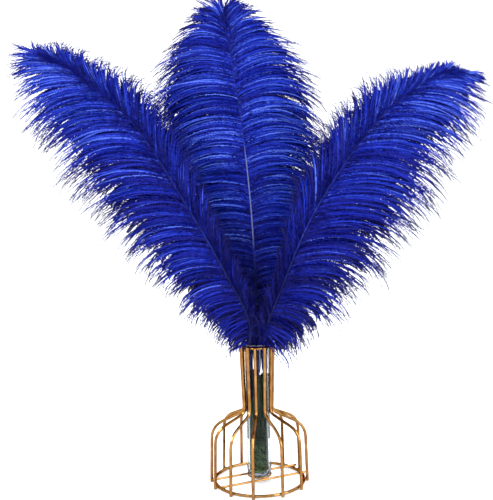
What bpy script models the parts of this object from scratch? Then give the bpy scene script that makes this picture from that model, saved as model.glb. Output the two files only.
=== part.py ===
"""Three ostrich plumes standing in a bottle-shaped cage of gold wire around a glass tube.

Metres, +Z up. The origin is on the floor under the middle of the vase, and the front is -Y.
"""

import math

import bmesh
import bpy
import numpy as np
from mathutils import Matrix, Vector

MM = 0.001
GAP = 0.3 * MM  # left between pieces that touch

# Wire cage
WIRE_R = 1.8 * MM
SMALL_WIRE_R = 1.1 * MM
CROSS_WIRE_R = 1.4 * MM
RIB_ANGLES = (-66, -36, -8, 27, 58, 88, 120, 148, 178, 202, 229, 270)  # degrees from the front
RIB_FOOT_R = 56.5 * MM
RIB_FOOT_HEIGHT = 5 * MM  # the straight end that stands on the floor
CORNER_R = 54.6 * MM
CORNER_Z = 68.5 * MM
CORNER_BEND = 22 * MM
NECK_BOTTOM_R = 16.4 * MM
NECK_BOTTOM_Z = 86 * MM
NECK_BEND = 9 * MM
NECK_TOP_R = 18.95 * MM
NECK_TOP_Z = 165.5 * MM
BASE_RING_R = RIB_FOOT_R - 2 * WIRE_R - GAP
BASE_RING_Z = 2.5 * MM
CROSS_WIRE_ANGLE = 23.5  # degrees from +X
CROSS_WIRE_OFFSET = 12.9 * MM
CROSS_WIRE_Z = BASE_RING_Z + WIRE_R + GAP + CROSS_WIRE_R
TUBE_RING_R = 13.5 * MM
TUBE_RING_Z = CROSS_WIRE_Z + CROSS_WIRE_R + GAP + SMALL_WIRE_R
NECK_RING_Z = 164 * MM

# Glass tube
TUBE_R = 14.3 * MM
TUBE_WALL = 1.3 * MM
TUBE_BOTTOM_Z = 6.9 * MM
TUBE_BASE = 3.5 * MM
TUBE_CORNER = 8 * MM
TUBE_RIM_Z = 167.5 * MM
NECK_RING_R = TUBE_R + GAP + SMALL_WIRE_R

# What stands in the tube
PLUG_R = 10.8 * MM
PLUG_CORNER = 5 * MM
PLUG_TOP_Z = 53 * MM
STEM_R = 4.3 * MM
SOCKET_R = 2.7 * MM
SOCKET_DEPTH = 15 * MM
STEM_BOTTOM_Z = PLUG_TOP_Z + GAP
STEMS = {  # x, y and top, in millimetres
    "left": (-8.2, -1.0, 136),
    "centre": (0.2, 3.6, 127.5),
    "right": (8.2, -1.0, 131),
}

# Plumes. A shaft runs through its points, in millimetres, from the quill's end to the last barbs.
SHAFTS = {
    "left": ((-8.2, -1, 122), (-8.2, -1, 138), (-8.2, -4, 158), (-9, -16, 198), (-28, -31, 244),
             (-68, -45, 322), (-126, -51, 420), (-185, -49, 476), (-215, -45, 493)),
    "centre": ((0.2, 3.6, 113.5), (0.2, 3.6, 130), (0.3, 6, 166), (0, 20, 242), (-4, 27, 329),
               (-13, 29, 424), (-26, 25, 515), (-30, 23, 540)),
    "right": ((8.2, -1, 117), (8.2, -1, 134), (8.2, -5, 160), (11, -15, 188), (27, -28, 232),
              (65, -43, 322), (131, -49, 418), (193, -47, 465), (220, -44, 469)),
}
VANE_START_Z = 176 * MM
QUILL_R = 2.0 * MM
SHAFT_TIP_R = 0.5 * MM
VANE_HALF_THICKNESS = 0.45 * MM
# Each vane side, at seven even steps from its lowest barbs to the tip: a barb's length in
# millimetres, its angle to the shaft at its root and at its tip, and how far it leans back there,
# all in degrees.
SIDES = {
    "left": {
        -1: ((44, 76, 104, 122, 122, 104, 40), (50, 42, 40, 38, 36, 28, 12),
             (165, 146, 128, 114, 102, 80, 30), (8, 8, 10, 10, 10, 10, 10), (25, 25, 25, 25, 25, 25, 20)),
        1: ((24, 44, 62, 72, 68, 50, 26), (20, 24, 34, 38, 36, 26, 8),
            (28, 40, 60, 70, 70, 54, 14), (12, 22, 28, 28, 28, 24, 15), (25, 42, 55, 60, 58, 48, 30)),
    },
    "centre": {
        -1: ((44, 88, 110, 122, 122, 94, 28), (56, 58, 56, 54, 50, 42, 12),
             (155, 158, 154, 148, 140, 120, 60), (3, 5, 5, 5, 5, 4, 3), (8, 14, 18, 18, 18, 16, 8)),
        1: ((44, 88, 106, 112, 112, 88, 24), (56, 58, 56, 54, 50, 42, 10),
            (155, 156, 150, 146, 140, 120, 50), (3, 5, 5, 5, 5, 4, 3), (8, 14, 18, 18, 18, 16, 8)),
    },
    "right": {
        -1: ((24, 44, 64, 76, 66, 44, 18), (20, 24, 34, 40, 36, 24, 6),
             (28, 40, 62, 74, 66, 40, 8), (12, 22, 28, 28, 28, 24, 15), (25, 42, 55, 60, 58, 48, 30)),
        1: ((50, 92, 118, 126, 118, 98, 32), (50, 42, 40, 38, 36, 28, 8),
            (165, 146, 126, 112, 96, 70, 20), (8, 8, 10, 10, 10, 10, 10), (25, 25, 25, 25, 25, 25, 20)),
    },
}
VANE_ROWS = 17
BARB_STEPS = 12
COLUMNS = (0.035, 0.28, 0.55, 0.8, 1.0)  # shares of a barb where the vane has its points


def clear_scene():
    for thing in list(bpy.data.objects):
        bpy.data.objects.remove(thing, do_unlink=True)


def material(name, colour, roughness, metallic=0.0, transmission=0.0):
    made = bpy.data.materials.new(name)
    made.use_nodes = True
    shader = made.node_tree.nodes["Principled BSDF"]
    shader.inputs["Base Color"].default_value = (*colour, 1.0)
    shader.inputs["Roughness"].default_value = roughness
    shader.inputs["Metallic"].default_value = metallic
    shader.inputs["Transmission Weight"].default_value = transmission
    return made


def add_object(name, data, finish):
    made = bpy.data.objects.new(name, data)
    data.materials.append(finish)
    bpy.context.scene.collection.objects.link(made)
    return made


def add_bmesh(name, shape, finish):
    bmesh.ops.recalc_face_normals(shape, faces=shape.faces)
    data = bpy.data.meshes.new(name)
    shape.to_mesh(data)
    shape.free()
    data.shade_smooth()
    data.set_sharp_from_angle(angle=math.radians(50))
    return add_object(name, data, finish)


def add_wire(name, points, radius, finish, closed=False):
    """A round wire through the points, with flat cut ends unless it closes on itself."""
    curve = bpy.data.curves.new(name, "CURVE")
    curve.dimensions = "3D"
    curve.bevel_depth = radius
    curve.bevel_resolution = 2
    curve.use_fill_caps = not closed
    curve.render_resolution_u = 0
    line = curve.splines.new("POLY")
    line.points.add(len(points) - 1)
    for place, point in zip(line.points, points):
        place.co = (*point, 1.0)
    line.use_cyclic_u = closed
    line.use_smooth = True
    return add_object(name, curve, finish)


def add_ring(name, radius, height, wire_radius, steps, finish):
    turns = (2 * math.pi * step / steps for step in range(steps))
    points = [(radius * math.cos(a), radius * math.sin(a), height) for a in turns]
    return add_wire(name, points, wire_radius, finish, closed=True)


def add_turned(name, profile, centre, sides, finish):
    """Turns a profile of (radius, height) points, which begins and ends on the axis."""
    shape = bmesh.new()
    points = [shape.verts.new((radius, 0, height)) for radius, height in profile]
    edges = [shape.edges.new(pair) for pair in zip(points, points[1:])]
    bmesh.ops.spin(shape, geom=points + edges, cent=(0, 0, 0), axis=(0, 0, 1),
                   angle=2 * math.pi, steps=sides, use_merge=True)
    bmesh.ops.remove_doubles(shape, verts=shape.verts, dist=0.01 * MM)
    bmesh.ops.translate(shape, verts=shape.verts, vec=(*centre, 0))
    return add_bmesh(name, shape, finish)


def rounded(corner_points, bends, steps=5):
    """Replaces each inner corner of a plane path with an arc of the given radius."""
    path = [Vector(corner_points[0])]
    for before, corner, after, radius in zip(corner_points, corner_points[1:], corner_points[2:], bends):
        corner = Vector(corner)
        back = (Vector(before) - corner).normalized()
        ahead = (Vector(after) - corner).normalized()
        half = back.angle(ahead) / 2
        middle = corner + (back + ahead).normalized() * radius / math.sin(half)
        start = corner + back * radius / math.tan(half) - middle
        sweep = start.angle_signed(corner + ahead * radius / math.tan(half) - middle)
        for step in range(steps + 1):
            turned = start.copy()
            turned.rotate(Matrix.Rotation(-sweep * step / steps, 2))
            path.append(middle + turned)
    path.append(Vector(corner_points[-1]))
    return path


def make_cage(gold):
    corners = (
        (RIB_FOOT_R, 0),
        (RIB_FOOT_R, RIB_FOOT_HEIGHT),
        (CORNER_R, CORNER_Z),
        (NECK_BOTTOM_R, NECK_BOTTOM_Z),
        (NECK_TOP_R, NECK_TOP_Z),
    )
    rib_path = rounded(corners, (20 * MM, CORNER_BEND, NECK_BEND))
    for number, degrees in enumerate(RIB_ANGLES, 1):
        angle = math.radians(degrees)
        points = [(r * math.sin(angle), -r * math.cos(angle), z) for r, z in rib_path]
        add_wire(f"rib_{number:02d}", points, WIRE_R, gold)
    add_ring("base_ring", BASE_RING_R, BASE_RING_Z, WIRE_R, 40, gold)
    add_ring("neck_ring", NECK_RING_R, NECK_RING_Z, SMALL_WIRE_R, 32, gold)
    add_ring("tube_ring", TUBE_RING_R, TUBE_RING_Z, SMALL_WIRE_R, 32, gold)
    turn = Matrix.Rotation(math.radians(CROSS_WIRE_ANGLE), 3, "Z")
    for name, side in (("front", -1), ("back", 1)):
        half = BASE_RING_R + WIRE_R
        ends = (turn @ Vector((x, side * CROSS_WIRE_OFFSET, CROSS_WIRE_Z)) for x in (-half, 0, half))
        add_wire(f"cross_wire_{name}", list(ends), CROSS_WIRE_R, gold)


def arc(centre, radius, start, end, steps):
    turns = (math.radians(start + (end - start) * step / steps) for step in range(steps + 1))
    return [(centre[0] + radius * math.cos(a), centre[1] + radius * math.sin(a)) for a in turns]


def make_tube(glass):
    inner_r = TUBE_R - TUBE_WALL
    inner_corner = TUBE_CORNER - TUBE_WALL
    floor_z = TUBE_BOTTOM_Z + TUBE_BASE
    lip = TUBE_WALL / 2
    profile = [(0, TUBE_BOTTOM_Z)]
    profile += arc((TUBE_R - TUBE_CORNER, TUBE_BOTTOM_Z + TUBE_CORNER), TUBE_CORNER, -90, 0, 5)
    profile += arc((TUBE_R - lip, TUBE_RIM_Z - lip), lip, 0, 180, 4)
    profile += arc((inner_r - inner_corner, floor_z + inner_corner), inner_corner, 0, -90, 4)
    profile += [(0, floor_z)]
    add_turned("glass_tube", profile, (0, 0), 28, glass)


def make_filling(foam, green):
    low = TUBE_BOTTOM_Z + TUBE_BASE + GAP
    profile = [(0, low)]
    profile += arc((PLUG_R - PLUG_CORNER, low + PLUG_CORNER), PLUG_CORNER, -90, 0, 3)
    profile += [(PLUG_R, PLUG_TOP_Z), (0, PLUG_TOP_Z)]
    add_turned("foam_plug", profile, (0, 0), 20, foam)
    for name, (x, y, top) in STEMS.items():
        top *= MM
        profile = (
            (0, STEM_BOTTOM_Z),
            (STEM_R, STEM_BOTTOM_Z),
            (STEM_R, top),
            (SOCKET_R, top),
            (SOCKET_R, top - SOCKET_DEPTH),
            (0, top - SOCKET_DEPTH),
        )
        add_turned(f"stem_{name}", profile, (x * MM, y * MM), 14, green)


def smooth_value(values, share):
    """Reads evenly spaced values at a share of their range, on a smooth curve through them."""
    values = np.asarray(values, float)
    padded = np.concatenate([[2 * values[0] - values[1]], values, [2 * values[-1] - values[-2]]])
    place = min(share * (len(values) - 1), len(values) - 1.000001)
    first = int(place)
    u = place - first
    a, b, c, d = padded[first:first + 4]
    return b + 0.5 * u * (c - a + u * (2 * a - 5 * b + 4 * c - d + u * (3 * (b - c) + d - a)))


def shaft_line(points, steps=400):
    """A smooth line through the points, with its points evenly spaced."""
    columns = np.array(points, float).T * MM
    rough = [[smooth_value(column, k / steps) for column in columns] for k in range(steps + 1)]
    rough = np.array(rough)
    reach = np.concatenate([[0], np.cumsum(np.linalg.norm(np.diff(rough, axis=0), axis=1))])
    even = np.linspace(0, reach[-1], steps + 1)
    return np.stack([np.interp(even, reach, rough[:, k]) for k in range(3)], axis=1)


def shaft_axes(line):
    """At each point of the line: along the shaft, to its right as seen from the front, and back."""
    along = np.gradient(line, axis=0)
    along /= np.linalg.norm(along, axis=1)[:, None]
    back = np.array((0.0, 1.0, 0.0)) - along * along[:, 1:2]
    back /= np.linalg.norm(back, axis=1)[:, None]
    return along, np.cross(back, along), back


def barb(root, along, right, back, side, profile, share):
    """One barb's points from root to tip, and the way the vane's face points back at each."""
    length, root_angle, tip_angle, root_lean, tip_lean = (smooth_value(row, share) for row in profile)
    u = (np.arange(BARB_STEPS) + 0.5) / BARB_STEPS
    angle = np.radians(root_angle + (tip_angle - root_angle) * u)[:, None]
    lean = np.radians(root_lean + (tip_lean - root_lean) * u)[:, None]
    sideways = side * right
    steps = np.cos(angle) * along + np.sin(angle) * (np.cos(lean) * sideways + np.sin(lean) * back)
    points = root + np.cumsum(steps, axis=0) * length * MM / BARB_STEPS
    faces = np.cos(lean) * back - np.sin(lean) * sideways
    return np.vstack([root, points]), np.vstack([faces[:1], faces])


def vane_ring(centre, radius, along, right, back, sides, share):
    """The outline of one row of the vane: its front from left to right, then its back again."""
    where = np.array(COLUMNS) * BARB_STEPS
    half = {}
    for side, profile in sides.items():
        points, faces = barb(centre, along, right, back, side, profile, share)
        steps = np.arange(BARB_STEPS + 1)
        place = np.stack([np.interp(where, steps, points[:, k]) for k in range(3)], axis=1)
        face = np.stack([np.interp(where, steps, faces[:, k]) for k in range(3)], axis=1)
        half[side] = (place, face * VANE_HALF_THICKNESS)
    place = np.vstack([half[-1][0][::-1], centre, half[1][0]])
    offset = np.vstack([half[-1][1][::-1], back * radius, half[1][1]])
    return np.vstack([place - offset, (place + offset)[::-1]])


def quill_ring(centre, radius, right, back):
    """A round section with as many points as a vane row has."""
    count = 2 * (2 * len(COLUMNS) + 1)
    turns = math.pi + (np.arange(count)[:, None] + 0.5) * 2 * math.pi / count
    return centre + radius * (np.cos(turns) * right + np.sin(turns) * back)


def make_plume(name, finish):
    line = shaft_line(SHAFTS[name])
    along, right, back = shaft_axes(line)
    first = int(np.argmax(line[:, 2] > VANE_START_Z))
    last = len(line) - 1
    radii = QUILL_R + (SHAFT_TIP_R - QUILL_R) * np.linspace(0, 1, last + 1)
    rings = []
    for k in np.linspace(0, first - 6, 6).astype(int):
        rings.append(quill_ring(line[k], radii[k], right[k], back[k]))
    for row in range(VANE_ROWS):
        share = row / (VANE_ROWS - 1)
        k = round(first + (last - first) * share)
        rings.append(vane_ring(line[k], radii[k], along[k], right[k], back[k], SIDES[name], share))
    shape = bmesh.new()
    loops = [[shape.verts.new(point) for point in ring] for ring in rings]
    count = len(loops[0])
    for low, high in zip(loops, loops[1:]):
        for k in range(count):
            after = (k + 1) % count
            shape.faces.new((low[k], low[after], high[after], high[k]))
    shape.faces.new(loops[0])
    tip = loops[-1]
    for k in range(count // 2 - 1):
        shape.faces.new((tip[k], tip[k + 1], tip[count - 2 - k], tip[count - 1 - k]))
    return add_bmesh(f"feather_{name}", shape, finish)


def main():
    clear_scene()
    gold = material("gold_wire", (0.62, 0.31, 0.07), 0.32, metallic=1.0)
    glass = material("clear_glass", (0.95, 0.97, 0.98), 0.03, transmission=1.0)
    green = material("green_stem", (0.03, 0.09, 0.05), 0.7)
    foam = material("green_foam", (0.05, 0.11, 0.06), 0.95)
    blue = material("blue_plume", (0.02, 0.03, 0.45), 0.6)
    make_cage(gold)
    make_tube(glass)
    make_filling(foam, green)
    for name in SHAFTS:
        make_plume(name, blue)


main()
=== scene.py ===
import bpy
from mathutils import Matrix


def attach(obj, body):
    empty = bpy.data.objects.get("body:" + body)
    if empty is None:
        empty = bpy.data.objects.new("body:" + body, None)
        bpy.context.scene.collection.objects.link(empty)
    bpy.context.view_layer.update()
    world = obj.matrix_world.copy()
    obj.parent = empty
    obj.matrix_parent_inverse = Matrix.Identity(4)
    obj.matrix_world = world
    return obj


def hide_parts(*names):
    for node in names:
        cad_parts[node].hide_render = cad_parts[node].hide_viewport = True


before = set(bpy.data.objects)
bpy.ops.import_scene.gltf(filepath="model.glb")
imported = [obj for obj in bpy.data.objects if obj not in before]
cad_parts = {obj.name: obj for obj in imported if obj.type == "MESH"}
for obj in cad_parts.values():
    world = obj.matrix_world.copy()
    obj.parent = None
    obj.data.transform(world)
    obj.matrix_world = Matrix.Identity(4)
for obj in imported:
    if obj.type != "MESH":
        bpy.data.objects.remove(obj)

"""The looks of three dyed ostrich plumes in a cage of gold wire around a glass tube.

Metres, +Z up, with the floor at Z = 0 under the middle of the vase and the front towards -Y.
"""

import math

import bmesh
import bpy
import numpy as np
from mathutils import Matrix, Vector

MM = 0.001
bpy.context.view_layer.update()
RNG = np.random.default_rng(7)

# ---------------------------------------------------------------- the vase

# Welds: how far from the axis and how high, in millimetres, at which angles from the front in
# degrees, and half their size round the axis, away from it and upwards.
RIB_ANGLES = (-66, -36, -8, 27, 58, 88, 120, 148, 178, 202, 229, 270)
WELDS = (
    (54.7, 2.5, RIB_ANGLES, (2.4, 1.3, 1.5)),  # ribs on the base ring
    (16.9, 164.0, RIB_ANGLES, (1.6, 0.7, 0.9)),  # ribs on the neck ring
    (52.6, 4.4, (99.3, 127.7, 279.3, 307.7), (2.0, 2.0, 1.0)),  # cross wires on the base ring
    (13.2, 7.5, (23.5, 203.5), (3.0, 1.0, 0.8)),  # the tube's ring on the cross wires
)
WELD_SIZES = (0.85, 1.15)  # the least and the most, as shares of the half sizes above

# Between these heights the glass's reflections go from dim to full: a painted highlight on the rim.
RIM_FROM, RIM_TO = 165.7 * MM, 166.3 * MM  # where the glass begins to catch the light
DYE_FROM, DYE_REACH = 99 * MM, 6 * MM  # how low the dye has run, and how softly it ends
FOAM_FROM, FOAM_TO = 10 * MM, 50 * MM  # the foam's tints change between these heights

# ---------------------------------------------------------------- the plumes

# A shaft runs through its points, in millimetres, from the quill's end to the last barbs.
SHAFTS = {
    "left": (
        (-8.2, -1, 122), (-8.2, -1, 138), (-8.2, -4, 158), (-9, -16, 198), (-28, -31, 244),
        (-68, -45, 322), (-126, -51, 420), (-185, -49, 476), (-215, -45, 493),
    ),
    "centre": (
        (0.2, 3.6, 113.5), (0.2, 3.6, 130), (1.3, 6, 166), (0, 20, 242), (-4, 27, 329),
        (-13, 29, 424), (-26, 25, 515), (-30, 23, 540),
    ),
    "right": (
        (8.2, -1, 117), (8.2, -1, 134), (8.2, -5, 160), (11, -15, 188), (27, -28, 232),
        (65, -43, 322), (131, -49, 418), (193, -47, 465), (220, -44, 469),
    ),
}
SHAFT_STEPS = 300
SHAFT_SIDES = 12
# Shares of a shaft's length, and its radius there in millimetres.
SHAFT_RADII = (
    (0, 0.036, 0.045, 0.09, 0.12, 0.15, 0.3, 0.5, 1),
    (2.0, 2.0, 3.3, 3.2, 2.2, 1.6, 1.1, 0.75, 0.3),
)
SHAFT_END_R = 0.02 * MM
# How many times as thick the middle quill is, which stands in thicker down.
CENTRE_QUILL = ((0, 0.045, 0.06, 0.09, 0.12, 0.16, 1), (1, 1, 1.15, 1.2, 1.6, 1, 1))
# A shaft's tone, from 0, dark, to 1, pale: the quill's, then its own, then at its tip.
SHAFT_TONE_SHARES = (0, 0.1, 0.3, 0.42, 0.62, 0.7, 1)
QUILL_TONES = (0.5, 0.1, 0.1)
SHAFT_TONES = {"left": 0.4, "centre": 0.75, "right": 0.5}
TIP_TONE = 0.3

VANE_START_Z = 168 * MM
BARBS = 1080  # on each side of a shaft
BARB_STEPS = 34
BARB_WIDTH = 0.85 * MM
BARB_TAPER = 0.6  # how much of its width a barb loses towards its tip
MAP_BARBS = 6  # side by side in each row of a vane's own map

# Each vane side, at seven even steps from its lowest barbs to the tip: a barb's length in
# millimetres, its angle to the shaft at its root and at its tip, and how far it leans back at
# its root and at its tip, all in degrees. Side -1 is on the left as seen from the front.
OUTER_LEANS = ((8, 8, 10, 10, 10, 10, 10), (25, 25, 25, 25, 25, 25, 20))
INNER_LEANS = ((12, 22, 28, 28, 28, 24, 15), (25, 42, 52, 54, 52, 44, 30))
CENTRE_TURNS = (
    (84, 66, 66, 65, 64, 58, 24), (162, 156, 152, 150, 146, 134, 106),
    (3, 5, 5, 5, 5, 4, 3), (8, 14, 17, 17, 17, 15, 8),
)
SIDES = {
    ("left", -1): (
        (48, 78, 107, 125, 127, 108, 48),
        (80, 56, 47, 42, 38, 30, 10), (178, 138, 123, 112, 102, 84, 38), *OUTER_LEANS,
    ),
    ("left", 1): (
        (26, 42, 58, 66, 66, 52, 31),
        (18, 20, 24, 27, 27, 20, 8), (22, 26, 34, 44, 50, 42, 14), *INNER_LEANS,
    ),
    ("centre", -1): ((40, 86, 112, 129, 130, 110, 31), *CENTRE_TURNS),
    ("centre", 1): ((40, 86, 105, 110, 110, 95, 27), *CENTRE_TURNS),
    ("right", -1): (
        (26, 44, 66, 82, 72, 42, 15),
        (18, 20, 25, 29, 27, 20, 6), (22, 26, 36, 46, 48, 34, 8), *INNER_LEANS,
    ),
    ("right", 1): (
        (60, 103, 136, 140, 126, 102, 32),
        (92, 57, 46, 42, 38, 28, 6), (186, 139, 122, 111, 100, 80, 24), *OUTER_LEANS,
    ),
}
# How much lighter or darker a side's barbs are at the same seven steps: painted shade low down
# between the plumes and on the inner sides, and lighter towards the tips.
PAINTED_SHADES = {
    ("left", -1): (-0.33, -0.22, -0.13, -0.14, -0.07, 0.08, 0.12),
    ("left", 1): (-0.50, -0.39, -0.27, -0.16, -0.14, -0.06, 0.05),
    ("centre", -1): (-0.30, -0.19, -0.08, 0.0, 0.0, -0.03, -0.08),
    ("centre", 1): (-0.30, -0.19, -0.08, 0.0, 0.0, 0.0, -0.05),
    ("right", -1): (-0.48, -0.37, -0.26, -0.20, -0.10, 0.08, 0.18),
    ("right", 1): (-0.33, -0.24, -0.22, -0.16, -0.08, 0.08, 0.18),
}
# How far the last part of a side's barbs curls over, in degrees.
CURLS = {("left", 1): 70, ("right", -1): 45}
OTHER_CURL = 4  # that of the other sides
CURL_SPREAD = 0.6  # of the curl

# How the same barbs vary, in degrees. First from strand to strand: at random, by a slow drift,
# and over how many strands it drifts. Then the mean and the spread of the wild ones near the
# vane's foot, where there are any.
VARIATIONS = (
    ((1, 1, 9), (8, 16)),  # angle at the root
    ((5, 3, 7), (0, 10)),  # angle at the tip
    ((2.5, 0, 7), (-15, 30)),  # lean at the root
    ((5, 3, 9), None),  # lean at the tip
)
LENGTH_VARIATION = (0.05, 0.03, 5)  # the same from strand to strand, as shares of the length
LENGTHS = (0.84, 1.04)  # the least and the most that a barb's length varies by itself
LONG_BARBS, LONG_LENGTHS = 0.05, (1.05, 1.16)  # this share of them is longer
WILD_SHARE = 0.16  # of a vane, from its foot
WILD_CUT = 0.4  # how much of its length a wild barb may lack
STRAND_BARBS = (2, 7)  # a strand has at least the first and fewer than the second
GATHER = {"left": 0.9, "centre": 0.5, "right": 0.9}  # how far strands draw together at their tips
LOOSE_SHARES = ((0.82, 1), (1, 0.3))  # towards a vane's tip its strands are less loose
CLOSING_SHARE = 0.93  # of a vane, from which its last barbs may close the gap between the sides
STRAY = 6  # degrees that single barbs stray by at their tips
SWAY = 1.1  # millimetres that a strand sways by at its tip
SWAY_TURNS = (3, 8)  # radians that a strand's sway turns through, from the least to the most
BARB_SWAY = 0.25  # of its strand's
STRAND_TWIST, BARB_TWIST = 0.5, 0.6  # radians that they turn on themselves

# The downy barbs are darker as painted shade deep in the vane.
DOWNY_EVERY = 4  # one barb in this many is shorter, wider and darker, and fills the vane
DOWNY_LENGTH = {"left": 0.76, "centre": 0.87, "right": 0.76}  # as a share of the others'
DOWNY_LEAN = 5  # degrees that they lean further back
DOWNY_WIDTH = 3  # times the others'
DOWNY_BARBULE = 4.5  # times the others'
DOWNY_LOOSE = 0.2  # of the others'

TUCKED_SHARE = 0.035  # of a vane, from its foot, where two in three barbs are tucked in
TUCKED_DROP = 0.07  # how far down they start at most, as a share of the vane
TUCKED_DROPS = (0.3, 1)  # the least and the most, as shares of that
TUCKED_LENGTHS = (22, 44)
TUCKED_ROOT, TUCKED_TIP, TUCKED_LEAN = (2, 12), (-5, 25), 30  # degrees

BARBULE = 2.0 * MM
BARBULE_SIZES = (0.55, 1.2)  # the least and the most, as shares of that length
BARBULE_SHAPE = ((0, 0.1, 0.45, 0.7, 0.88, 1), (0.8, 1.1, 1.0, 0.66, 0.32, 0.1))  # along a barb
BARBULE_SPREAD = (30, 7)  # mean and spread of its angle to the barb, in degrees
BARBULE_TILT = 35  # spread of its tilt out of the vane, in degrees

# Tones, from 0, dark, to 1, light.
BARB_TONE = 0.51
STRAND_TONES, BARB_TONES = 0.08, 0.15  # how much strands and single barbs vary
# The downy barbs' darker tone is painted shade deep in the vane, behind the other barbs.
DOWNY_PAINTED_SHADE = -0.30
# Painted glints: a share of the barbs is made lighter to stand in for highlights.
PAINTED_GLINT_TONE, PAINTED_GLINT_BARBS = 0.30, 0.08  # this much is added to this share of the barbs
# Barbules are darker than their barb's core: painted shade between the barbs, leaving painted
# highlights along the cores.
BARBULE_PAINTED_SHADE = -0.30
# Along a barb: painted shade near the shaft, a painted highlight along its middle, and dark thin
# tips.
TONE_AND_PAINTED_LIGHT_FALL = ((0, 0.15, 0.45, 0.8, 1), (-0.04, 0.06, 0.12, -0.02, -0.6))  # along a barb

# ---------------------------------------------------------------- the studio

FLOOR_R, FLOOR_BEND_R, WALL_TOP = 3.0, 1.0, 4.5
FLOOR_SIDES, FLOOR_BEND_STEPS = 72, 12
LAMPS_TARGET = (0, 0, 0.3)
LAMPS = (  # name, place, size in metres, power in watts
    ("key", (-1.3, -1.7, 2.0), 1.2, 50),
    ("fill", (1.7, -1.3, 1.0), 1.2, 18),
    ("top", (0.2, 0.5, 2.4), 1.4, 40),
)

CAMERA_AT = (-9.7 * MM, -1094.6 * MM, 439.5 * MM)
CAMERA_DOWN, CAMERA_ROLL = 8.49, -1.21  # degrees
CAMERA_LENS, CAMERA_SENSOR = 69.84, 36  # millimetres, and the sensor's height


# ---------------------------------------------------------------- numbers

def smooth_values(values, shares):
    """Reads evenly spaced values at shares of their range, on a smooth curve through them."""
    values = np.asarray(values, float)
    padded = np.concatenate([[2 * values[0] - values[1]], values, [2 * values[-1] - values[-2]]])
    place = np.clip(shares, 0, 1) * (len(values) - 1)
    first = np.minimum(place.astype(int), len(values) - 2)
    u = place - first
    a, b, c, d = (padded[first + k] for k in range(4))
    return b + 0.5 * u * (c - a + u * (2 * a - 5 * b + 4 * c - d + u * (3 * (b - c) + d - a)))


def read_along(places, known, values):
    """Reads rows of three values, known at some places, at other places between them."""
    return np.stack([np.interp(places, known, values[:, k]) for k in range(3)], axis=1)


def even_line(points, steps):
    """A smooth line through the points, with its own points evenly spaced."""
    shares = np.linspace(0, 1, steps + 1)
    columns = np.array(points, float).T
    rough = np.stack([smooth_values(column, shares) for column in columns], axis=1)
    reach = np.concatenate([[0], np.cumsum(np.linalg.norm(np.diff(rough, axis=0), axis=1))])
    return read_along(np.linspace(0, reach[-1], steps + 1), reach, rough)


def unit(vectors):
    return vectors / np.linalg.norm(vectors, axis=-1, keepdims=True)


def line_axes(line, away=(0.0, 1.0, 0.0)):
    """At each point of a line: along it, to its right as seen from the front, and back."""
    along = unit(np.gradient(line, axis=0))
    away = np.array(away)
    back = unit(away - along * (along @ away)[:, None])
    return along, np.cross(back, along), back


# ---------------------------------------------------------------- meshes

def add_mesh(name, points, faces, finish, smooth=True):
    """A mesh object from an array of points and an array of triangles or quads, riding the root."""
    data = bpy.data.meshes.new(name)
    faces = np.asarray(faces)
    sides = faces.shape[1]
    data.vertices.add(len(points))
    data.vertices.foreach_set("co", np.asarray(points, np.float32).ravel())
    data.loops.add(faces.size)
    data.loops.foreach_set("vertex_index", faces.astype(np.int32).ravel())
    data.polygons.add(len(faces))
    data.polygons.foreach_set("loop_start", np.arange(0, faces.size, sides, dtype=np.int32))
    data.polygons.foreach_set("use_smooth", np.full(len(faces), smooth))
    data.update(calc_edges=True)
    data.materials.append(finish)
    made = bpy.data.objects.new(name, data)
    bpy.context.scene.collection.objects.link(made)
    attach(made, "root")
    return made


def add_map(piece, places):
    """Gives each corner of each face its own place on a map named OFBake."""
    layer = piece.data.uv_layers.new(name="OFBake", do_init=False)
    layer.uv.foreach_set("vector", np.asarray(places, np.float32).ravel())


def add_tone(piece, values):
    """Gives each point of a piece the tone that its dyed material reads; a vane's tones hold
    painted shade and highlights too.
    """
    layer = piece.data.attributes.new("tone", "FLOAT", "POINT")
    layer.data.foreach_set("value", np.asarray(values, np.float32))


# ---------------------------------------------------------------- materials

def new_material(name):
    made = bpy.data.materials.new(name)
    made.use_nodes = True
    nodes = made.node_tree.nodes
    return made, nodes, made.node_tree.links, nodes["Principled BSDF"]


def ramp(nodes, links, value, stops):
    """Picks a colour by a value from 0 to 1."""
    made = nodes.new("ShaderNodeValToRGB")
    elements = made.color_ramp.elements
    while len(elements) < len(stops):
        elements.new(0.5)
    for element, (place, colour) in zip(elements, stops):
        element.position = place
        element.color = (*colour, 1.0)
    links.new(value, made.inputs["Fac"])
    return made.outputs["Color"]


def object_space(nodes, links, setting, value):
    """The object's own space, with its Scale or its Rotation set."""
    place = nodes.new("ShaderNodeTexCoord")
    mapping = nodes.new("ShaderNodeMapping")
    mapping.inputs[setting].default_value = value
    links.new(place.outputs["Object"], mapping.inputs["Vector"])
    return mapping.outputs["Vector"]


def noise_texture(nodes, links, scale, detail, stretch=(1, 1, 1)):
    """Noise in the object's own space, which may be stretched along an axis."""
    noise = nodes.new("ShaderNodeTexNoise")
    noise.inputs["Scale"].default_value = scale
    noise.inputs["Detail"].default_value = detail
    links.new(object_space(nodes, links, "Scale", stretch), noise.inputs["Vector"])
    return noise.outputs["Fac"]


def scaled(nodes, links, value, low, high):
    """Maps a value from 0..1 onto low..high."""
    made = nodes.new("ShaderNodeMapRange")
    made.inputs["To Min"].default_value = low
    made.inputs["To Max"].default_value = high
    links.new(value, made.inputs["Value"])
    return made.outputs["Result"]


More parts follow.
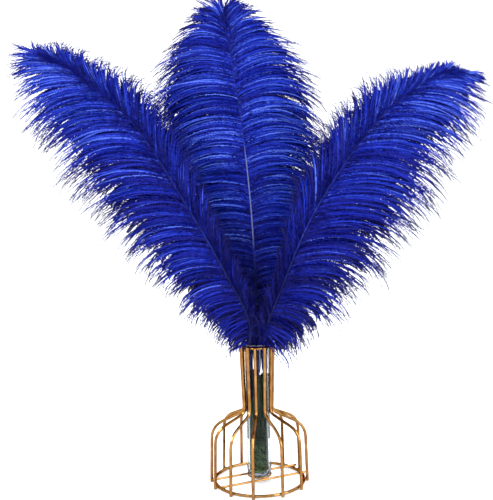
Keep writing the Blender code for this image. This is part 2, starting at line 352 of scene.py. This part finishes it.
def height_share(nodes, links, low, high):
    """How far up a point lies between two heights, from 0 to 1."""
    place = nodes.new("ShaderNodeTexCoord")
    split = nodes.new("ShaderNodeSeparateXYZ")
    links.new(place.outputs["Object"], split.inputs["Vector"])
    made = nodes.new("ShaderNodeMapRange")
    made.inputs["From Min"].default_value = low
    made.inputs["From Max"].default_value = high
    links.new(split.outputs["Z"], made.inputs["Value"])
    return made.outputs["Result"]


def add_bump(nodes, links, shader, height, strength, distance):
    bump = nodes.new("ShaderNodeBump")
    bump.inputs["Strength"].default_value = strength
    bump.inputs["Distance"].default_value = distance
    links.new(height, bump.inputs["Height"])
    links.new(bump.outputs["Normal"], shader.inputs["Normal"])


def dyed_material(name, stops, uneven, roughness, bump):
    """Dyed keratin: its `tone` attribute, which holds painted shade and highlights too, made uneven
    by the dye, picks the colour.
    """
    made, nodes, links, shader = new_material(name)
    tone = nodes.new("ShaderNodeAttribute")
    tone.attribute_name = "tone"
    dye = noise_texture(nodes, links, 380, 4)
    total = nodes.new("ShaderNodeMath")
    total.operation = "ADD"
    links.new(tone.outputs["Fac"], total.inputs[0])
    links.new(scaled(nodes, links, dye, -uneven, uneven), total.inputs[1])
    links.new(ramp(nodes, links, total.outputs["Value"], stops), shader.inputs["Base Color"])
    links.new(scaled(nodes, links, dye, *roughness), shader.inputs["Roughness"])
    add_bump(nodes, links, shader, noise_texture(nodes, links, 2200, 3), bump, 0.1 * MM)
    shader.inputs["Specular IOR Level"].default_value = 0.1
    return made


def barb_material():
    # The dark stops carry the painted shade, and the palest the painted highlights and glints.
    return dyed_material("dyed_barbs", (
        (0.0, (0.001, 0.001, 0.055)),
        (0.35, (0.002, 0.005, 0.195)),
        (0.65, (0.005, 0.022, 0.37)),
        (1.0, (0.080, 0.150, 0.70)),
    ), 0.16, (0.35, 0.6), 0.25)


def shaft_material():
    return dyed_material("dyed_shaft", (
        (0.0, (0.002, 0.003, 0.015)),
        (0.5, (0.008, 0.018, 0.20)),
        (1.0, (0.25, 0.27, 0.40)),
    ), 0.1, (0.25, 0.5), 0.3)


def gold_material():
    """Satin gold plating: slightly uneven in colour and finish, and darker where it turns away, a
    painted dark reflection.
    """
    made, nodes, links, shader = new_material("gold_plating")
    patches = noise_texture(nodes, links, 120, 5)
    colour = ramp(nodes, links, patches, (
        (0.3, (0.20, 0.090, 0.022)),
        (0.5, (0.283, 0.145, 0.043)),
        (0.7, (0.352, 0.196, 0.076)),
    ))
    links.new(colour, shader.inputs["Base Color"])
    links.new(scaled(nodes, links, patches, 0.12, 0.28), shader.inputs["Roughness"])
    add_bump(nodes, links, shader, noise_texture(nodes, links, 500, 3), 0.08, 0.15 * MM)
    shader.inputs["Metallic"].default_value = 1.0
    # Painted reflection: a dark edge tint stands in for the dark surroundings mirrored at the
    # wires' edges.
    shader.inputs["Specular Tint"].default_value = (0.30, 0.14, 0.06, 1.0)
    return made


def glass_material():
    """Clear glass with slight waviness and handling marks, and a painted highlight on its rim,
    which reflects fully while the rest reflects dimly.
    """
    made, nodes, links, shader = new_material("clear_glass")
    marks = noise_texture(nodes, links, 150, 4, (1, 1, 0.3))
    colour = ramp(nodes, links, marks, (
        (0.35, (0.96, 0.98, 0.975)),
        (0.65, (0.98, 0.99, 0.985)),
    ))
    links.new(colour, shader.inputs["Base Color"])
    links.new(scaled(nodes, links, marks, 0.0, 0.03), shader.inputs["Roughness"])
    add_bump(nodes, links, shader, noise_texture(nodes, links, 60, 1), 0.03, 0.1 * MM)
    # Painted highlight: reflections are dimmed below the rim and full on it.
    painted_rim_shine = ramp(nodes, links, height_share(nodes, links, RIM_FROM, RIM_TO), (
        (0.0, (0.15, 0.15, 0.15)),
        (1.0, (1.0, 1.0, 1.0)),
    ))
    links.new(painted_rim_shine, shader.inputs["Specular Tint"])
    depth = nodes.new("ShaderNodeVolumeAbsorption")
    depth.inputs["Color"].default_value = (0.62, 0.68, 0.76, 1.0)
    depth.inputs["Density"].default_value = 230
    links.new(depth.outputs["Volume"], nodes["Material Output"].inputs["Volume"])
    shader.inputs["Transmission Weight"].default_value = 1.0
    shader.inputs["IOR"].default_value = 1.47
    return made


def tape_material(name, dyed=False):
    """Florist's tape wound around a stem, and blue where the dye has run down it."""
    made, nodes, links, shader = new_material(name)
    wraps = nodes.new("ShaderNodeTexWave")
    wraps.bands_direction = "Z"
    wraps.wave_profile = "SAW"
    wraps.inputs["Scale"].default_value = 45
    wraps.inputs["Distortion"].default_value = 1.5
    wraps.inputs["Detail"].default_value = 3
    links.new(object_space(nodes, links, "Rotation", (0.5, 0.3, 0)), wraps.inputs["Vector"])
    fibres = noise_texture(nodes, links, 1, 4, (900, 900, 60))
    colour = ramp(nodes, links, fibres, (
        (0.3, (0.003, 0.008, 0.004)),
        (0.5, (0.012, 0.030, 0.014)),
        (0.7, (0.040, 0.075, 0.040)),
    ))
    if dyed:
        blend = nodes.new("ShaderNodeMix")
        blend.data_type = "RGBA"
        blend.inputs["B"].default_value = (0.002, 0.003, 0.022, 1.0)
        height = height_share(nodes, links, DYE_FROM, DYE_FROM + DYE_REACH)
        links.new(height, blend.inputs["Factor"])
        links.new(colour, blend.inputs["A"])
        colour = blend.outputs["Result"]
    links.new(colour, shader.inputs["Base Color"])
    add_bump(nodes, links, shader, wraps.outputs["Fac"], 0.6, 0.4 * MM)
    links.new(scaled(nodes, links, fibres, 0.45, 0.75), shader.inputs["Roughness"])
    shader.inputs["Specular IOR Level"].default_value = 0.2
    return made


def foam_material():
    """Dark green granular foam, lighter and brownish low down, and grey at its foot."""
    made, nodes, links, shader = new_material("granular_foam")
    grains = nodes.new("ShaderNodeTexVoronoi")
    grains.inputs["Scale"].default_value = 900
    links.new(object_space(nodes, links, "Scale", (1, 1, 1)), grains.inputs["Vector"])
    clouds = noise_texture(nodes, links, 260, 5)
    speckle = ramp(nodes, links, clouds, (
        (0.3, (0.004, 0.010, 0.005)),
        (0.5, (0.016, 0.032, 0.014)),
        (0.7, (0.060, 0.085, 0.045)),
    ))
    bands = ramp(nodes, links, height_share(nodes, links, FOAM_FROM, FOAM_TO), (
        (0.0, (4.6, 4.6, 5.2)),
        (0.12, (4.2, 4.2, 4.4)),
        (0.18, (2.2, 1.7, 1.0)),
        (0.29, (2.0, 1.7, 1.1)),
        (0.40, (1.9, 1.9, 1.8)),
        (0.75, (1.4, 1.4, 1.4)),
        (1.0, (1.0, 1.0, 1.0)),
    ))
    tint = nodes.new("ShaderNodeMix")
    tint.data_type = "RGBA"
    tint.blend_type = "MULTIPLY"
    tint.inputs["Factor"].default_value = 1.0
    links.new(speckle, tint.inputs["A"])
    links.new(bands, tint.inputs["B"])
    links.new(tint.outputs["Result"], shader.inputs["Base Color"])
    add_bump(nodes, links, shader, grains.outputs["Distance"], 0.8, 0.5 * MM)
    links.new(scaled(nodes, links, clouds, 0.75, 1.0), shader.inputs["Roughness"])
    shader.inputs["Specular IOR Level"].default_value = 0.15
    return made


# ---------------------------------------------------------------- plumes

def slow_noise(count, reach):
    """Random values of about unit size that drift over `reach` neighbours."""
    rough = RNG.normal(0, 1, count + reach - 1)
    return np.convolve(rough, np.ones(reach) / math.sqrt(reach), "valid")


class Barbs:
    """How the barbs of one vane side grow: each attribute has one value for each barb."""

    def __init__(self, name, side):
        order = np.arange(BARBS)
        place = (order + RNG.uniform(-0.5, 0.5, BARBS)) / (BARBS - 1)
        self.share = share = np.clip(place, 0, 1)
        self.strand = np.repeat(order, RNG.integers(*STRAND_BARBS, BARBS))[:BARBS]
        self.strands = self.strand[-1] + 1
        middles = np.bincount(self.strand, share) / np.bincount(self.strand)
        self.strand_share = middles[self.strand]
        self.downy = order % DOWNY_EVERY == 0
        self.loose = np.where(self.downy, DOWNY_LOOSE, np.interp(share, *LOOSE_SHARES))
        wild = np.interp(share, (0, WILD_SHARE), (1, 0))

        length, *turns = (smooth_values(row, share) for row in SIDES[name, side])
        for k, (strand_turn, wild_turn) in enumerate(VARIATIONS):
            turns[k] = turns[k] + self.strand_noise(*strand_turn)
            if wild_turn:
                turns[k] = turns[k] + wild * RNG.normal(*wild_turn, BARBS)
        self.root_angle, self.tip_angle, self.root_lean, self.tip_lean = turns
        length = length * (1 + self.strand_noise(*LENGTH_VARIATION))
        length = length * RNG.uniform(*LENGTHS, BARBS)
        longer = RNG.random(BARBS) < LONG_BARBS
        length *= np.where(longer, RNG.uniform(*LONG_LENGTHS, BARBS), 1)
        length *= 1 - wild * RNG.uniform(0, WILD_CUT, BARBS)
        length[self.downy] *= DOWNY_LENGTH[name]
        self.length = length
        self.root_lean[self.downy] += DOWNY_LEAN
        self.tip_lean[self.downy] += DOWNY_LEAN

        # The last ones close the gap between the two sides.
        closing = np.interp(share, (CLOSING_SHARE, 1), (0, 1)) * RNG.uniform(0, 1, BARBS)
        self.root_angle = self.root_angle * (1 - closing)
        self.tip_angle = self.tip_angle * (1 - closing)

        # The lowest ones stand close round the quill in the tube's mouth.
        self.tucked = tucked = (share < TUCKED_SHARE) & (order % 3 > 0)
        count = tucked.sum()
        inwards = -1 if (name, side) in (("left", -1), ("right", 1)) else 1
        self.root_angle[tucked] = inwards * RNG.uniform(*TUCKED_ROOT, count)
        self.tip_angle[tucked] = inwards * RNG.uniform(*TUCKED_TIP, count)
        self.root_lean[tucked] = self.tip_lean[tucked] = RNG.normal(0, TUCKED_LEAN, count)
        self.length[tucked] = RNG.uniform(*TUCKED_LENGTHS, count)

    def strand_noise(self, size, drift=0.0, reach=7):
        """Random values that the barbs of a strand share, and that drift from one to the next."""
        values = size * RNG.normal(0, 1, self.strands) + drift * slow_noise(self.strands, reach)
        return values[self.strand] * self.loose


def barb_paths(barbs, name, side, line, first):
    """Each barb's path and, along it, the ways that it points, lies across and faces."""
    u = (np.arange(BARB_STEPS) + 0.5) / BARB_STEPS
    u_edge = np.linspace(0, 1, BARB_STEPS + 1)
    stray = RNG.normal(0, STRAY, (2, BARBS, 1)) * u**3
    curl = CURLS.get((name, side), OTHER_CURL)
    stray[0] += curl * RNG.normal(1, CURL_SPREAD, (BARBS, 1)) * u**5

    def turning(root, tip, strays):
        return np.radians(root[:, None] + (tip - root)[:, None] * u + strays)[..., None]

    angle = turning(barbs.root_angle, barbs.tip_angle, stray[0])
    lean = turning(barbs.root_lean, barbs.tip_lean, stray[1])

    def at(values, shares):
        last = len(line) - 1
        return read_along(first + (last - first) * shares, np.arange(last + 1), values)

    drop = TUCKED_DROP * RNG.uniform(*TUCKED_DROPS, BARBS) * barbs.tucked
    roots = at(line, barbs.share - drop)
    along, right, back = line_axes(line)
    along, out, back = (
        unit(at(axis, barbs.share))[:, None] for axis in (along, side * right, back)
    )
    ways = np.cos(angle) * along + np.sin(angle) * (np.cos(lean) * out + np.sin(lean) * back)
    core = np.cumsum(ways, axis=1) * (barbs.length * MM / BARB_STEPS)[:, None, None]
    core = np.concatenate([np.zeros((BARBS, 1, 3)), core], axis=1)
    gather = (GATHER[name] * u_edge**1.3)[None, :, None] * barbs.loose[:, None, None]
    core += roots[:, None] + (at(line, barbs.strand_share) - roots)[:, None] * gather
    ways = unit(np.gradient(core, axis=1))
    normals = np.cos(lean) * back - np.sin(lean) * out
    normals = np.concatenate([normals[:, :1], normals], axis=1)
    across = unit(np.cross(ways, normals))
    normals = np.cross(across, ways)

    # Strands sway as they grow, and each barb turns a little on itself.
    shape = (2, barbs.strands, 1)
    turns = RNG.uniform(0, 2 * math.pi, shape) + RNG.uniform(*SWAY_TURNS, shape) * u_edge
    sway = np.sin(turns)[:, barbs.strand] + RNG.normal(0, BARB_SWAY, (2, BARBS, 1))
    sway = sway * u_edge * SWAY * MM
    core += across * sway[0][..., None] + normals * sway[1][..., None]
    turn = barbs.strand_noise(STRAND_TWIST)[:, None]
    turn = turn + RNG.normal(0, BARB_TWIST, (BARBS, 1)) * u_edge
    cos, sin = np.cos(turn)[..., None], np.sin(turn)[..., None]
    return core, ways, cos * across + sin * normals, cos * normals - sin * across


def barb_edges(barbs, core, across):
    """The two edges of each barb's ribbon."""
    u_edge = np.linspace(0, 1, BARB_STEPS + 1)
    half = BARB_WIDTH * (1 - BARB_TAPER * u_edge) / 2
    half = (half * np.where(barbs.downy, DOWNY_WIDTH, 1)[:, None])[..., None]
    return np.stack([core - across * half, core + across * half], axis=2)


def barbule_tips(barbs, edges, ways, across, normals):
    """The tips of the barbules, one on each step of both edges."""
    u = (np.arange(BARB_STEPS) + 0.5) / BARB_STEPS
    middle = (edges[:, 1:] + edges[:, :-1]) / 2
    out = across[:, 1:, None] * np.array([-1.0, 1.0])[None, None, :, None]
    shape = (BARBS, BARB_STEPS, 2, 1)
    spread = np.radians(RNG.normal(*BARBULE_SPREAD, shape))
    tilt = np.radians(RNG.normal(0, BARBULE_TILT, shape))
    fly = np.cos(spread) * ways[:, 1:, None] + np.sin(spread) * (
        np.cos(tilt) * out + np.sin(tilt) * normals[:, 1:, None]
    )
    size = np.interp(u, *BARBULE_SHAPE)[None, :, None, None] * BARBULE
    size = size * RNG.uniform(*BARBULE_SIZES, shape)
    size[barbs.downy] *= DOWNY_BARBULE
    return middle + fly * size


def barb_tones(barbs, name, side):
    """Lighter and darker strands, painted shade between them and low down, painted glints, and dark
    thin tips.
    """
    shade = BARB_TONE + barbs.strand_noise(STRAND_TONES) + RNG.normal(0, BARB_TONES, BARBS)
    shade = shade + DOWNY_PAINTED_SHADE * barbs.downy + smooth_values(PAINTED_SHADES[name, side], barbs.share)
    shade = shade + PAINTED_GLINT_TONE * (RNG.random(BARBS) < PAINTED_GLINT_BARBS)
    tone_and_light_fall = np.interp(np.linspace(0, 1, BARB_STEPS + 1), *TONE_AND_PAINTED_LIGHT_FALL)
    edge = np.clip(shade[:, None] + tone_and_light_fall, 0, 1)
    tip = np.clip((edge[:, 1:] + edge[:, :-1]) / 2 + BARBULE_PAINTED_SHADE, 0, 1)
    return np.concatenate([np.repeat(edge, 2, axis=1), np.repeat(tip, 2, axis=1)], axis=1)


def vane_faces():
    """The triangles of a vane, whose barbs list both edges and then both rows of tips."""
    k = 2 * np.arange(BARB_STEPS)
    tip = 2 * (BARB_STEPS + 1) + k
    faces = np.concatenate([
        np.stack([k, k + 1, k + 3], axis=1),
        np.stack([k, k + 3, k + 2], axis=1),
        np.stack([k, k + 2, tip], axis=1),
        np.stack([k + 3, k + 1, tip + 1], axis=1),
    ])
    points = 2 * (BARB_STEPS + 1) + 2 * BARB_STEPS
    return (faces[None] + (np.arange(BARBS) * points)[:, None, None]).reshape(-1, 3)


def vane_map():
    """A square on the map for each step of each barb, with room for its four triangles."""
    corners = np.array([
        [(0, 0), (0, 0.5), (1, 0.5)],
        [(0, 0), (1, 0.5), (1, 0)],
        [(0.05, 0.55), (0.85, 0.55), (0.05, 0.95)],
        [(0.95, 0.95), (0.15, 0.95), (0.95, 0.55)],
    ])
    barb, step = np.divmod(np.arange(BARBS * BARB_STEPS), BARB_STEPS)
    row, place = np.divmod(barb, MAP_BARBS)
    cell = np.stack([place * BARB_STEPS + step, row], axis=1)
    cell = cell.reshape(BARBS, 1, BARB_STEPS, 1, 2)
    return (cell + corners[None, :, None]) / (MAP_BARBS * BARB_STEPS)


def vane(name, side, line, first, finish):
    """One side of a plume: barbs fringed with barbules, drawn into strands towards their tips."""
    barbs = Barbs(name, side)
    core, ways, across, normals = barb_paths(barbs, name, side, line, first)
    edges = barb_edges(barbs, core, across)
    tips = barbule_tips(barbs, edges, ways, across, normals)
    points = np.concatenate([edges.reshape(BARBS, -1, 3), tips.reshape(BARBS, -1, 3)], axis=1)
    label = {-1: "left", 1: "right"}[side]
    piece = add_mesh(
        f"plume_{name}_vane_{label}", points.reshape(-1, 3), vane_faces(), finish,
        False,
    )
    add_tone(piece, barb_tones(barbs, name, side).ravel())
    add_map(piece, vane_map())
    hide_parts(f"feather_{name}")


def swept_tube(line, radii, sides):
    """Points and quads of a round tube along a line, closed by its last small rings."""
    _, right, back = line_axes(line)
    turns = np.arange(sides) * 2 * math.pi / sides
    cos, sin = np.cos(turns)[None, :, None], np.sin(turns)[None, :, None]
    ring = cos * right[:, None] + sin * back[:, None]
    points = line[:, None] + ring * np.asarray(radii)[:, None, None]
    rows = np.arange(len(line) - 1)[:, None] * sides
    k = np.arange(sides)[None]
    after = (k + 1) % sides
    faces = np.stack([rows + k, rows + after, rows + sides + after, rows + sides + k], axis=-1)
    return points.reshape(-1, 3), faces.reshape(-1, 4)


def shaft(name, line, finish):
    steps = np.linspace(0, 1, len(line))
    radii = np.interp(steps, *SHAFT_RADII) * MM
    if name == "centre":
        radii *= np.interp(steps, *CENTRE_QUILL)
    radii[0] = radii[-1] = SHAFT_END_R
    points, faces = swept_tube(line, radii, SHAFT_SIDES)
    piece = add_mesh(f"plume_{name}_shaft", points, faces, finish)
    tones = (*QUILL_TONES, SHAFT_TONES[name], SHAFT_TONES[name], TIP_TONE, TIP_TONE)
    add_tone(piece, np.repeat(np.interp(steps, SHAFT_TONE_SHARES, tones), SHAFT_SIDES))
    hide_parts(f"feather_{name}")


def make_plumes():
    barbs = barb_material()
    dyed = shaft_material()
    for name, points in SHAFTS.items():
        line = even_line(np.array(points) * MM, SHAFT_STEPS)
        first = int(np.argmax(line[:, 2] > VANE_START_Z))
        shaft(name, line, dyed)
        for side in (-1, 1):
            vane(name, side, line, first, barbs)


# ---------------------------------------------------------------- vase

def finish_cad(finishes):
    """Gives every CAD node the finish that the first words of its name stand for."""
    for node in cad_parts:
        for words, finish in finishes.items():
            if node.startswith(words):
                data = bpy.data.objects[node].data
                data.materials.clear()
                data.materials.append(finish)


def make_welds(finish):
    """Small uneven beads of metal where the wires are welded together."""
    shape = bmesh.new()
    for radius, height, angles, size in WELDS:
        for degrees in angles:
            turn = Matrix.Rotation(math.radians(degrees), 4, "Z")
            place = Matrix.Translation((0, -radius * MM, height * MM))
            uneven = Matrix.Diagonal((*(np.array(size) * MM * RNG.uniform(*WELD_SIZES, 3)), 1))
            bmesh.ops.create_icosphere(
                shape, subdivisions=2, radius=1, matrix=turn @ place @ uneven
            )
    shape.verts.index_update()
    points = [vert.co for vert in shape.verts]
    faces = [[vert.index for vert in face.verts] for face in shape.faces]
    add_mesh("weld_beads", points, faces, finish)
    shape.free()


# ---------------------------------------------------------------- studio

def floor_mesh():
    """A round floor that bends up into a wall all round."""
    profile = [(0.001, 0.0), (FLOOR_R / 2, 0.0)]
    for step in range(FLOOR_BEND_STEPS + 1):
        angle = math.radians(90 * step / FLOOR_BEND_STEPS)
        profile.append((
            FLOOR_R + FLOOR_BEND_R * math.sin(angle),
            FLOOR_BEND_R - FLOOR_BEND_R * math.cos(angle),
        ))
    profile.append((FLOOR_R + FLOOR_BEND_R, WALL_TOP))
    turns = [2 * math.pi * k / FLOOR_SIDES for k in range(FLOOR_SIDES)]
    points = [(r * math.cos(a), r * math.sin(a), z) for r, z in profile for a in turns]
    faces = []
    for row in range(0, FLOOR_SIDES * (len(profile) - 1), FLOOR_SIDES):
        for k in range(FLOOR_SIDES):
            after = (k + 1) % FLOOR_SIDES
            above = row + FLOOR_SIDES
            faces.append((row + k, row + after, above + after, above + k))
    data = bpy.data.meshes.new("studio_floor")
    data.from_pydata(points, [], faces)
    data.shade_smooth()
    return data


def make_studio():
    """A pale floor with soft lamps and an open top."""
    scene = bpy.context.scene
    data = floor_mesh()
    made, _, _, shader = new_material("studio_white")
    shader.inputs["Base Color"].default_value = (0.9, 0.9, 0.9, 1)
    shader.inputs["Roughness"].default_value = 0.9
    shader.inputs["Emission Color"].default_value = (1, 1, 1, 1)
    shader.inputs["Emission Strength"].default_value = 0.35
    data.materials.append(made)
    floor = bpy.data.objects.new("studio_floor", data)
    scene.collection.objects.link(floor)
    world = bpy.data.worlds.new("studio")
    world.use_nodes = True
    background = world.node_tree.nodes["Background"]
    background.inputs["Color"].default_value = (0.75, 0.78, 0.82, 1)
    background.inputs["Strength"].default_value = 0.5
    scene.world = world
    for name, place, size, power in LAMPS:
        light = bpy.data.lights.new(name, "AREA")
        light.size = size
        light.energy = power
        lamp = bpy.data.objects.new(name, light)
        lamp.location = place
        aim = Vector(LAMPS_TARGET) - Vector(place)
        lamp.rotation_euler = aim.to_track_quat("-Z", "Y").to_euler()
        scene.collection.objects.link(lamp)


def make_camera():
    data = bpy.data.cameras.new("camera")
    data.sensor_fit = "VERTICAL"
    data.sensor_height = CAMERA_SENSOR
    data.lens = CAMERA_LENS
    camera = bpy.data.objects.new("camera", data)
    turn = Matrix.Rotation(math.radians(90 - CAMERA_DOWN), 4, "X")
    roll = Matrix.Rotation(math.radians(CAMERA_ROLL), 4, "Z")
    camera.matrix_world = Matrix.Translation(CAMERA_AT) @ turn @ roll
    bpy.context.scene.collection.objects.link(camera)
    bpy.context.scene.camera = camera
    bpy.context.scene.view_settings.view_transform = "Standard"


make_camera()
make_studio()
make_plumes()
gold = gold_material()
make_welds(gold)
finish_cad({
    "rib_": gold,
    "base_ring": gold,
    "neck_ring": gold,
    "tube_ring": gold,
    "cross_wire": gold,
    "glass_tube": glass_material(),
    "stem_left": tape_material("dyed_tape", dyed=True),
    "stem_centre": tape_material("green_tape"),
    "stem_right": tape_material("green_tape_right"),
    "foam_plug": foam_material(),
})
